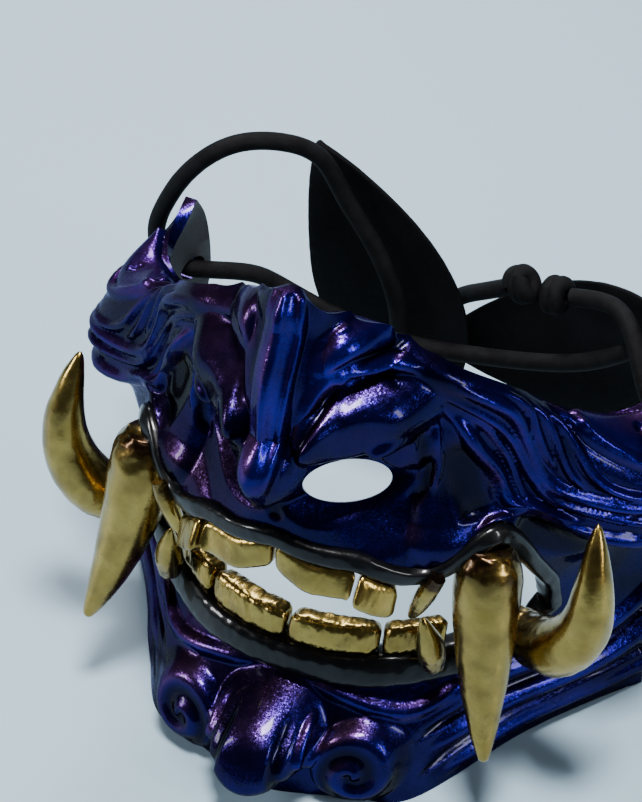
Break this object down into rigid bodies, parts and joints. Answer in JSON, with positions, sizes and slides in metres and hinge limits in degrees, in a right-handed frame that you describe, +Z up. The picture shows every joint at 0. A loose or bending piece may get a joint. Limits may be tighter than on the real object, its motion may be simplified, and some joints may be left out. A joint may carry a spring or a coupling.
{
  "type": "half mask",
  "caption": "Demon half mask for nose, cheeks and jaw, with open fanged mouth, tusks and a cord harness with leather pads.",
  "frame": {"origin": "centre of the mask without its harness, on the floor it stands on", "axes": "+X to the wearer's left, +Y to the back of the head, +Z up"},
  "size_m": [0.1768, 0.1603, 0.1659],
  "materials": {
    "shell": "cast shell in glossy colour-shift paint, blue to violet, with fine metal flake",
    "lips": "gloss black",
    "gold": "aged gold paint, brown at the roots",
    "leather": "black leather",
    "cord": "matt black round cord"
  },
  "bodies": {
    "root": {"mask_shell": "shell", "upper_lip": "lips", "lower_lip": "lips", "big_fang_left": "gold", "big_fang_right": "gold", "tusk_left": "gold", "tusk_right": "gold", "upper_small_fang_left": "gold", "upper_small_fang_right": "gold", "lower_small_fang_left": "gold", "lower_small_fang_right": "gold", "upper_front_teeth_left": "gold", "upper_front_teeth_right": "gold", "upper_side_teeth_left": "gold", "upper_side_teeth_right": "gold", "lower_front_teeth_left": "gold", "lower_front_teeth_right": "gold", "lower_side_teeth_left": "gold", "lower_side_teeth_right": "gold", "leather_pad_left": "leather", "leather_pad_right": "leather", "knot_left": "cord", "knot_right": "cord", "harness_cord": "cord"}
  },
  "joints": []
}
